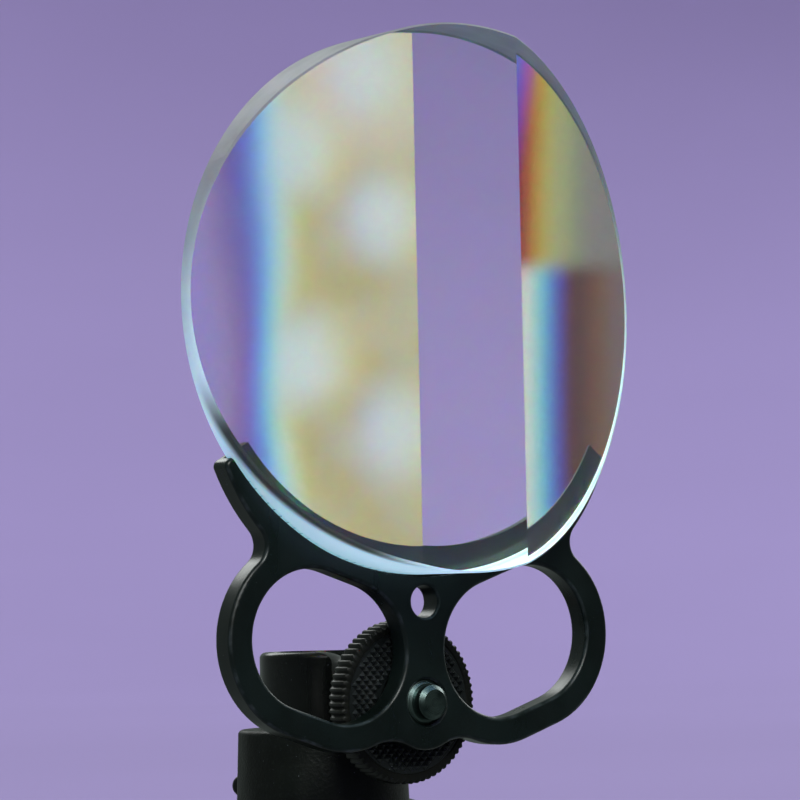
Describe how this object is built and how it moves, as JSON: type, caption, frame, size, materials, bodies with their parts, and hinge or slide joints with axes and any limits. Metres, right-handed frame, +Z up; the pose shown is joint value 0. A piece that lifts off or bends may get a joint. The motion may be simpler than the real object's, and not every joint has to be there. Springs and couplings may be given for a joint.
{
  "type": "hand-held glass effect prism on a mini ball head",
  "caption": "Thick roof-faced glass disc held in a black two-ring finger holder, screwed to the stud of a small ball head with a knurled lock wheel and a wing lock knob.",
  "frame": {"origin": "mouth of the tripod thread, in the middle of the base's underside", "axes": "+Z up along the head's axis, -Y out of the holder's front face along the stud, +X to the right of someone facing the front"},
  "size_m": [0.0762, 0.0658, 0.1271],
  "materials": {
    "optical_glass": "polished faces, ground rim",
    "clear_bond": "cured adhesive",
    "holder_black": "satin black",
    "dark_steel": "blackened, worn on the crests",
    "black_plastic": "moulded, semi-matt",
    "grained_plastic": "fine moulded grain",
    "black_rubber": "matt",
    "cup_black": "black anodised, half gloss",
    "brass": "turned",
    "acetal": "natural white",
    "spring_steel": "oiled",
    "screw_steel": "black zinc"
  },
  "bodies": {
    "head": {"housing": "cup_black", "collar": "grained_plastic", "lock_bush": "brass", "seat_spring": "spring_steel", "base_disc": "cup_black", "base_insert": "brass", "rest_ring": "black_rubber", "base_screws": "screw_steel"},
    "seat": {"ball_seat": "acetal"},
    "ball": {"ball_stem": "cup_black", "stud": "dark_steel"},
    "wheel": {"lock_wheel": "black_plastic", "wheel_insert": "brass", "grip_pad": "black_rubber"},
    "prism_holder": {"handle": "holder_black", "cradle_bond": "clear_bond", "prism_disc": "optical_glass"},
    "knob_carrier": {"knob_washer": "acetal"},
    "knob": {"lock_screw": "screw_steel", "lock_knob": "black_plastic", "knob_cap": "black_plastic"}
  },
  "joints": [
    {"name": "ball_tilt", "type": "hinge", "parent": "head", "child": "ball", "pos_m": [0, 0, 0.033], "axis": [-1, 0, 0], "range_deg": [0, 115]},
    {"name": "wheel_spin", "type": "hinge", "parent": "ball", "child": "wheel", "pos_m": [0, -0.0197, 0.033], "axis": [0, -1, 0], "continuous": true},
    {"name": "prism_turn", "type": "hinge", "parent": "ball", "child": "prism_holder", "pos_m": [0, -0.0245, 0.033], "axis": [0, -1, 0], "continuous": true},
    {"name": "knob_travel", "type": "slide", "parent": "head", "child": "knob_carrier", "axis": [0.5878, 0.809, 0], "range_m": [0, 0.0012]},
    {"name": "knob_turn", "type": "hinge", "parent": "knob_carrier", "child": "knob", "pos_m": [0, 0, 0.0175], "axis": [0.5878, 0.809, 0], "range_deg": [0, 541]},
    {"name": "seat_lift", "type": "slide", "parent": "head", "child": "seat", "axis": [0, 0, 1], "range_m": [-0.000301, 0], "deforming": ["seat_spring"]}
  ],
  "couplings": [
    {"joint": "knob_turn", "follows": "knob_travel", "rad_per_m": 7854},
    {"joint": "seat_lift", "follows": "knob_travel", "ratio": -0.25}
  ]
}
